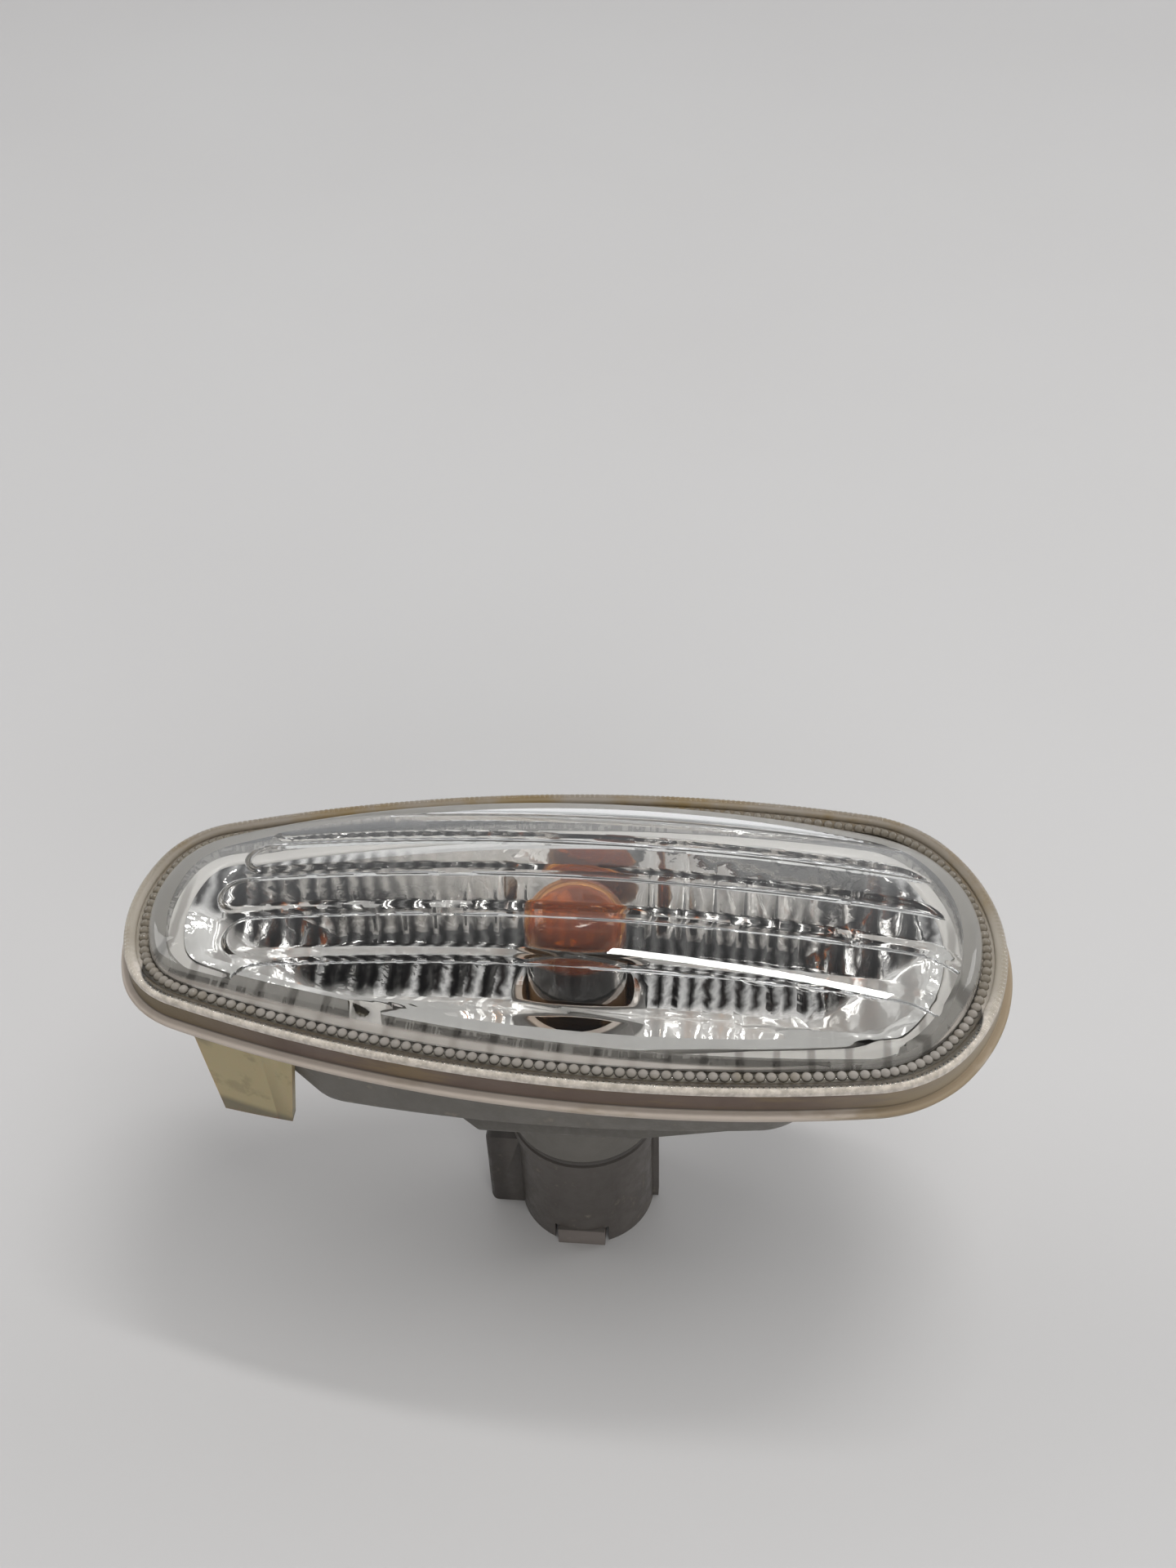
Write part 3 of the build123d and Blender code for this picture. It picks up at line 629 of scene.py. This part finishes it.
def housing_plastic():
    """Grey plastic. The top of the flange is painted pale cream as light seen through the lens's foot,
    stained along its outside; inside the dome it is smoother and painted light grey with faint lines,
    as a reflection of the reflector's columns."""
    finish = Moulding("housing_plastic", paint(120, 116, 109), paint(92, 89, 84), 0.5)
    depth = finish.rim_depth()
    # painted light: the top of the flange pale, as light seen through the lens
    flange_top = finish.step(finish.axis("Z"), FLANGE_TOP_Z - 0.1 * MM, FLANGE_TOP_Z)
    pale = finish.blend(finish.dust, paint(214, 208, 197), paint(176, 168, 152))
    seeped = finish.fall(depth + (finish.cloud - 0.5) * 1.5, 2.0, 3.0)
    finish.tint(flange_top, finish.blend(seeped * 0.8, pale, paint(112, 92, 58)))
    # painted reflection of the reflector's columns on the flange inside the dome
    mirrored_band = flange_top * finish.step(depth, *MIRRORED_BAND_DEPTH)
    wave = (finish.axis("X") * (tau / RIPPLE_PITCH) + finish.cloud * 3).sine()
    line = finish.step(wave, 0.55, 0.95) * finish.fall(finish.axis("Y"), 2 * MM, 6 * MM) * 0.7
    finish.tint(mirrored_band, finish.blend(line, paint(188, 185, 181), paint(126, 122, 117)))
    finish.matt = finish.matt * (1 - mirrored_band) + mirrored_band * 0.25
    return finish.finished()


def holder_plastic():
    """Darker grey plastic with smears, a wing painted dark as shade and a latch pad painted paler as light.
    """
    finish = Moulding("holder_plastic", paint(102, 96, 91), paint(70, 66, 62), 0.42)
    across = finish.axis("X")
    # painted shade on the wing
    finish.tint(finish.fall(across, *WING_FROM_X) * 0.55, paint(40, 37, 35))
    # painted light: the latch pad paler, as light falls on its top
    latch = finish.fall(finish.axis("Z"), LATCH_TOP, LATCH_TOP + 0.2 * MM)
    latch = latch * finish.fall(across.size(), LATCH_HALF, LATCH_HALF + 0.1 * MM)
    finish.tint(latch * 0.5, paint(150, 140, 134))
    smear = finish.noise(60, 5, 0.6, stretch=(1, 1, 0.3), distortion=1.5)
    finish.tint(finish.step(smear, 0.5, 0.7) * 0.45, paint(50, 46, 43))
    return finish.finished()


def seal_rubber():
    return Moulding("seal_rubber", paint(92, 88, 84), paint(72, 69, 66), 0.6).finished()


def clip_nylon():
    """Cream nylon, yellowed, darker along the bottom edge, with painted shade at the root."""
    finish = Finish("clip_nylon", Subsurface_Weight=0.25, Subsurface_Scale=1.5 * MM)
    cloud = finish.noise(150, 4, 0.55)
    height = finish.axis("Z")
    colour = finish.blend(cloud, paint(166, 150, 108), paint(184, 170, 132))
    # darker towards the bottom edge
    foot = finish.fall(height, -14.8 * MM, -13.6 * MM)
    colour = finish.blend(foot * 0.7, colour, paint(70, 66, 52))
    stain = finish.noise(230, 4, 0.6)
    colour = finish.blend(finish.step(stain, 0.52, 0.62) * 0.35, colour, paint(112, 102, 74))
    # painted shade: a dark patch at the top left, by the root
    corner = height + (finish.axis("X") + 30 * MM) * -0.6 + stain * 6 * MM
    colour = finish.blend(finish.step(corner, -0.5 * MM, 3.5 * MM) * 0.85, colour, paint(52, 48, 41))
    finish.surface(Base_Color=colour, Roughness=finish.step(cloud, 0.3, 0.7, 0.35, 0.5))
    return finish.material


def amber_glass():
    """Bulb glass: amber with a band of painted shade in front, and low on the front side a painted
    reflection, dark brown between two mirror-like sides."""
    finish = Finish("bulb_amber", IOR=1.45, Transmission_Weight=1.0)
    height = finish.axis("Z")
    across = finish.axis("X").size()
    cloud = finish.noise(260, 4, 0.6)
    foot = height + (cloud - 0.5) * 0.8 * MM
    upper = finish.step(foot, AMBER_FOOT - 0.25 * MM, AMBER_FOOT + 0.25 * MM)
    back = finish.step(finish.axis("Y"), 0.5 * MM, 2.5 * MM)
    upper = upper + back * (1 - upper)
    amber = finish.blend(cloud, (0.97, 0.50, 0.11, 1), (0.88, 0.36, 0.06, 1))
    # painted shade: a dark band across the front of the bulb
    shade_band = finish.stripe(height + (cloud - 0.5) * MM, SHADE_BAND_Z, 0.5 * MM, 1.0 * MM)
    shade_band = shade_band * finish.fall(across, 3.0 * MM, 3.8 * MM) * (1 - back)
    amber = finish.blend(shade_band * 0.9, amber, (0.17, 0.07, 0.035, 1))
    # painted reflection: low on the front, dark brown in the middle and mirror-like at the sides
    dark_half = finish.step(height, DARK_STEP_Z - BLUR, DARK_STEP_Z + BLUR, *DARK_HALF_WIDTHS)
    dark = finish.fall(across - dark_half, -BLUR, BLUR)
    lower = finish.blend(dark, paint(196, 192, 188), (0.035, 0.014, 0.01, 1))
    finish.surface(
        Metallic=(1 - upper) * (1 - dark),
        Base_Color=finish.blend(upper, lower, amber),
        Roughness=finish.step(cloud, 0.3, 0.7, 0.02, 0.06),
    )
    finish.add_matt_layer(upper * 0.05, finish.blend(cloud, paint(232, 128, 30), paint(180, 84, 16)))
    finish.let_shadow_light_through((0.98, 0.80, 0.50, 1))
    return finish.material


def bare_metal(name, pale, dark):
    finish = Finish(name, Metallic=1.0)
    cloud = finish.noise(900, 3, 0.6)
    finish.surface(
        Base_Color=finish.blend(cloud, pale, dark), Roughness=finish.step(cloud, 0.3, 0.7, 0.3, 0.45)
    )
    return finish.material


def make_rim_gasket():
    """A flat lip with a rounded edge, and an upstand against the side of the lens."""
    bm = bmesh.new()
    stations = [at_inset(LIP_WIDTH, 0.0), at_inset(LIP_EDGE_RADIUS, 0.0)]
    for turn in range(0, 91, 15):
        angle = radians(turn)
        inset = LIP_EDGE_RADIUS * (1 - cos(angle))
        stations.append(at_inset(inset, LIP_TOP - LIP_EDGE_RADIUS * (1 - sin(angle))))
    stations += [
        at_inset(UPSTAND_OUTER - UPSTAND_EDGE, LIP_TOP), at_inset(UPSTAND_OUTER, LIP_TOP + UPSTAND_EDGE),
        at_inset(UPSTAND_OUTER, UPSTAND_TOP - UPSTAND_EDGE),
        at_inset(UPSTAND_OUTER + UPSTAND_EDGE, UPSTAND_TOP), at_inset(UPSTAND_INNER, UPSTAND_TOP),
        at_inset(UPSTAND_INNER, LIP_TOP), at_inset(LIP_WIDTH, LIP_TOP), at_inset(LIP_WIDTH, 0.0),
    ]
    rim_body(bm, stations)
    close_up(bm)
    show("rim_gasket_dressed", bm, "lamp", gasket_rubber(), ["rim_gasket"])


def flute_share(x, y):
    """How far a place lies inside a flute: 0 on the ridges between, 1 on the flat of a flute."""
    best = 0.0
    for number in range(-FLUTES_EACH_SIDE, FLUTES_EACH_SIDE + 1):
        middle = number * FLUTE_PITCH
        start = FLUTE_NARROW_END_X + abs(middle) * FLUTE_NARROW_END_SLOPE
        end = FLUTE_BEND_X - abs(middle) * FLUTE_WIDE_END_SLOPE
        away = hypot(x - min(max(x, start), end), y - middle)
        centre_y = middle - FLUTE_BEND_RADIUS
        turn = min(max(atan2(y - centre_y, x - end), pi / 2 - FLUTE_BEND_ARC), pi / 2)
        bend_x = end + FLUTE_BEND_RADIUS * cos(turn)
        bend_y = centre_y + FLUTE_BEND_RADIUS * sin(turn)
        away = min(away, hypot(x - bend_x, y - bend_y))
        best = max(best, (FLUTE_WIDTH / 2 + FLUTE_WALL_RUN / 2 - away) / FLUTE_WALL_RUN)
    share = min(max(best, 0.0), 1.0)
    return share * share * (3 - 2 * share)


def crown_station(edge_inset, part, drop=0.0, fluted=False):
    """A station on the crown, part of the way in from an outline to the spine of the dome."""
    def place(share):
        edge = EGG.point(share, edge_inset)
        spine_x = min(max(edge.x, SPINE_ENDS[0]), SPINE_ENDS[1])
        spot = edge.lerp(Vector((spine_x, 0, 0)), part)
        depth = drop
        if fluted:
            depth -= FLUTE_DEPTH * flute_share(spot.x, spot.y)
        spot.z = crown(spot.x, spot.y, depth)
        return spot
    return place


def under_crown(inset, below):
    """A station at an inset, below the crown by a length."""
    def place(share):
        spot = EGG.point(share, inset)
        spot.z = crown(spot.x, spot.y) - below
        return spot
    return place


def lens_outside():
    """The stations from the lens's foot over the rim bead and the groove to the dome's spine."""
    bead_foot = BEAD_TOP - BEAD_HEIGHT
    stations = [
        at_inset(UPSTAND_INNER, LENS_FOOT), at_inset(UPSTAND_INNER, UPSTAND_TOP),
        at_inset(UPSTAND_OUTER, UPSTAND_TOP), at_inset(UPSTAND_OUTER, bead_foot),
    ]
    bead_middle = (UPSTAND_OUTER + BEAD_INNER) / 2
    bead_half = (BEAD_INNER - UPSTAND_OUTER) / 2
    for turn in range(30, 151, 20):
        angle = radians(turn)
        stations.append(at_inset(bead_middle - bead_half * cos(angle), bead_foot + BEAD_HEIGHT * sin(angle)))
    stations += [
        at_inset(BEAD_INNER, bead_foot), at_inset(BEAD_INNER, GROOVE_TOP),
        at_inset(DOME_OUTER - GROOVE_EDGE, GROOVE_TOP), at_inset(DOME_OUTER, GROOVE_TOP + GROOVE_EDGE),
    ]
    stations += [under_crown(DOME_OUTER, below) for below in DOME_SIDE_DROPS]
    for turn in range(10, 91, 10):
        angle = radians(turn)
        inset = DOME_OUTER + DOME_EDGE_RADIUS * (1 - cos(angle))
        stations.append(under_crown(inset, DOME_EDGE_RADIUS * (1 - sin(angle))))
    for step in range(1, CROWN_STEPS + 1):
        stations.append(crown_station(DOME_OUTER + DOME_EDGE_RADIUS, step / CROWN_STEPS))
    return stations


def lens_inside():
    """The stations from the spine over the fluted roof and down the inner wall to the foot."""
    stations = []
    for step in range(ROOF_STEPS + 1):
        stations.append(crown_station(DOME_INNER, 1 - step / ROOF_STEPS, DOME_WALL, True))
    return stations + [at_inset(DOME_INNER, LENS_FOOT), at_inset(UPSTAND_INNER, LENS_FOOT)]


def make_lens():
    """Rim bead, groove, domed crown and the fluted roof inside, as one closed wall."""
    bm = bmesh.new()
    rim_body(bm, lens_outside())
    rim_body(bm, lens_inside())
    close_up(bm)
    mark_depth(bm)
    show("lens_dressed", bm, "lamp", lens_plastic(), ["lens"], LENS_SHARP_ANGLE)


def bead_row(name, count, inset, z, radius, material):
    """A row of half-round beads along the rim, cut off level at their foot."""
    bm = bmesh.new()
    for number in range(count):
        spot = EGG.point(number / count, inset) + Vector((0, 0, z))
        bmesh.ops.create_icosphere(bm, subdivisions=2, radius=radius, matrix=Matrix.Translation(spot))
    bmesh.ops.bisect_plane(
        bm, geom=bm.verts[:] + bm.edges[:] + bm.faces[:], plane_co=(0, 0, z - BEAD_SINK),
        plane_no=(0, 0, 1), clear_inner=True,
    )
    bmesh.ops.holes_fill(bm, edges=[edge for edge in bm.edges if edge.is_boundary])
    show(name, bm, "lamp", material)


def make_knurl():
    """The beads round the foot of the dome, and the finer ones on the rim's bead."""
    count = round(RIM_ROUND / KNURL_PITCH)
    bead_row("lens_knurl", count, KNURL_INSET, GROOVE_TOP, KNURL_RADIUS, frosted_plastic())
    clear = clear_plastic("rim_dot_plastic", (0.97, 0.96, 0.93, 1), 0.05).material
    dots = count * RIM_DOTS_PER_KNURL
    bead_row("lens_rim_dots", dots, RIM_DOT_INSET, RIM_DOT_Z, RIM_DOT_RADIUS, clear)


def make_housing():
    """The bowl as it is in the frame, with more edges in its flange to carry the rim's finish."""
    bm = copy_of("housing")
    long_edges = []
    for edge in bm.edges:
        if edge.calc_length() > LONG_EDGE and min(vertex.co.z for vertex in edge.verts) > FLANGE_FROM_Z:
            long_edges.append(edge)
    bmesh.ops.subdivide_edges(bm, edges=long_edges, cuts=LONG_EDGE_CUTS, use_grid_fill=True)
    mark_depth(bm)
    show("housing_dressed", bm, "lamp", housing_plastic(), ["housing"])


def make_copy(name, node, body, material):
    """A piece that keeps the frame's own form."""
    show(name, copy_of(node), body, material, [node])


def make_copies():
    make_copy("holder_dressed", "bulb_holder", "holder", holder_plastic())
    make_copy("clip_dressed", "retaining_clip", "lamp", clip_nylon())
    make_copy("reflector_dressed", "reflector", "lamp", mirror_plating())
    make_copy("bulb_dressed", "bulb_glass", "holder", amber_glass())


def dress_small_pieces():
    wire = bare_metal("lead_wire", paint(170, 165, 158), paint(120, 115, 110))
    brass = bare_metal("contact_metal", paint(196, 172, 110), paint(150, 128, 78))
    for side in ("left", "right"):
        dress("bulb_lead_" + side, wire)
        dress("contact_" + side, brass)
    dress("bulb_lead_bridge", clear_plastic("bead_glass", (0.8, 0.86, 0.83, 1), 0.08).material)
    dress("bulb_filament", bare_metal("filament_wire", paint(110, 108, 106), paint(70, 68, 66)))
    dress("holder_seal", seal_rubber())


def floor_finish():
    """A plain pale sheet."""
    finish = Finish("floor_sheet", Specular_IOR_Level=0.2, Roughness=0.7)
    cloud = finish.noise(9, 3, 0.5)
    finish.surface(Base_Color=finish.blend(cloud, paint(206, 205, 204), paint(200, 198, 197)))
    return finish.material


def make_floor():
    bm = bmesh.new()
    bmesh.ops.create_grid(bm, x_segments=4, y_segments=4, size=FLOOR_HALF)
    bmesh.ops.translate(bm, verts=bm.verts, vec=(0, 0, FLOOR_Z))
    mesh = bpy.data.meshes.new("floor")
    bm.to_mesh(mesh)
    bm.free()
    mesh.materials.append(floor_finish())
    sheet = bpy.data.objects.new("floor", mesh)
    bpy.context.scene.collection.objects.link(sheet)


def make_room():
    """A room that is dark overhead and in front and pale at the back. The camera sees it pale."""
    world = bpy.data.worlds.new("room")
    bpy.context.scene.world = world
    room = Nodes(world)
    way = room.node("ShaderNodeTexCoord", output="Generated")
    lean = room.node("ShaderNodeVectorMath", {"operation": "DOT_PRODUCT"}, {0: way, 1: PALE_SIDE}, "Value")
    ranges = dict(enumerate((*PALE_SIDE_RANGE, *ROOM_LEVELS), 1))
    level = room.node("ShaderNodeMapRange", None, {0: lean, **ranges})
    seen = room.node("ShaderNodeLightPath", output="Is Camera Ray")
    strength = room.node("ShaderNodeMix", None, {0: seen, 2: level, 3: BACKGROUND_LEVEL})
    inputs = {"Color": (0.97, 0.98, 1.0, 1), "Strength": strength}
    glow = room.node("ShaderNodeBackground", None, inputs)
    room.node("ShaderNodeOutputWorld", None, {"Surface": glow})


def make_lamp(name, place, size, power, roll=0.0, mirrored=True):
    """A soft light that faces the object, and shows in shiny surfaces or only lights matt ones."""
    light = bpy.data.lights.new(name, "AREA")
    light.shape = "RECTANGLE"
    light.size, light.size_y = size
    light.energy = power
    stand = bpy.data.objects.new(name, light)
    stand.location = place
    facing = (-Vector(place)).to_track_quat("-Z", "Y")
    stand.rotation_euler = (facing @ Quaternion((0, 0, 1), roll)).to_euler()
    stand.visible_glossy = mirrored
    stand.visible_transmission = mirrored
    bpy.context.scene.collection.objects.link(stand)


def make_lamps():
    """A long strip light, a window on each side, and two soft lights for the matt surfaces."""
    make_lamp("strip", (0.16, 0.19, 0.9), (0.4, 0.04), 1.7, roll=radians(27))
    make_lamp("left_window", (-0.8, 0.2, 0.5), (0.4, 0.5), 1.8)
    make_lamp("right_window", (0.8, 0.35, 0.45), (0.35, 0.4), 1.3)
    make_lamp("overhead", (0.25, -0.12, 0.95), (0.6, 0.6), 3.4, mirrored=False)
    make_lamp("fill", (0.25, -0.8, 0.4), (0.6, 0.4), 2.5, mirrored=False)


def make_camera():
    """The camera at the photograph's place: aimed, rolled, turned about the lamp's axis, then moved."""
    across = Vector((1, 0, 0))
    forward = Vector((0, cos(CAMERA_ELEVATION), -sin(CAMERA_ELEVATION)))
    up = Vector((0, sin(CAMERA_ELEVATION), cos(CAMERA_ELEVATION)))
    right = cos(CAMERA_ROLL) * across + sin(CAMERA_ROLL) * up
    top = -sin(CAMERA_ROLL) * across + cos(CAMERA_ROLL) * up
    view = Matrix((right, top, forward)) @ Matrix.Rotation(CAMERA_YAW, 3, "Z")
    place = view.transposed() @ -Vector((*CAMERA_SHIFT, CAMERA_DISTANCE))
    turn = Matrix((view[0], view[1], -view[2])).transposed()
    lens = bpy.data.cameras.new("camera")
    lens.sensor_width = SENSOR_MM
    lens.lens = FOCAL_PIXELS * SENSOR_MM / PHOTO_HEIGHT
    lens.clip_start = NEAREST_SEEN
    camera = bpy.data.objects.new("camera", lens)
    camera.matrix_world = Matrix.Translation(place) @ turn.to_4x4()
    bpy.context.scene.collection.objects.link(camera)
    bpy.context.scene.camera = camera


make_rim_gasket()
make_lens()
make_knurl()
make_housing()
make_copies()
dress_small_pieces()
make_floor()
make_room()
make_lamps()
make_camera()
bpy.context.scene.view_settings.view_transform = "Standard"
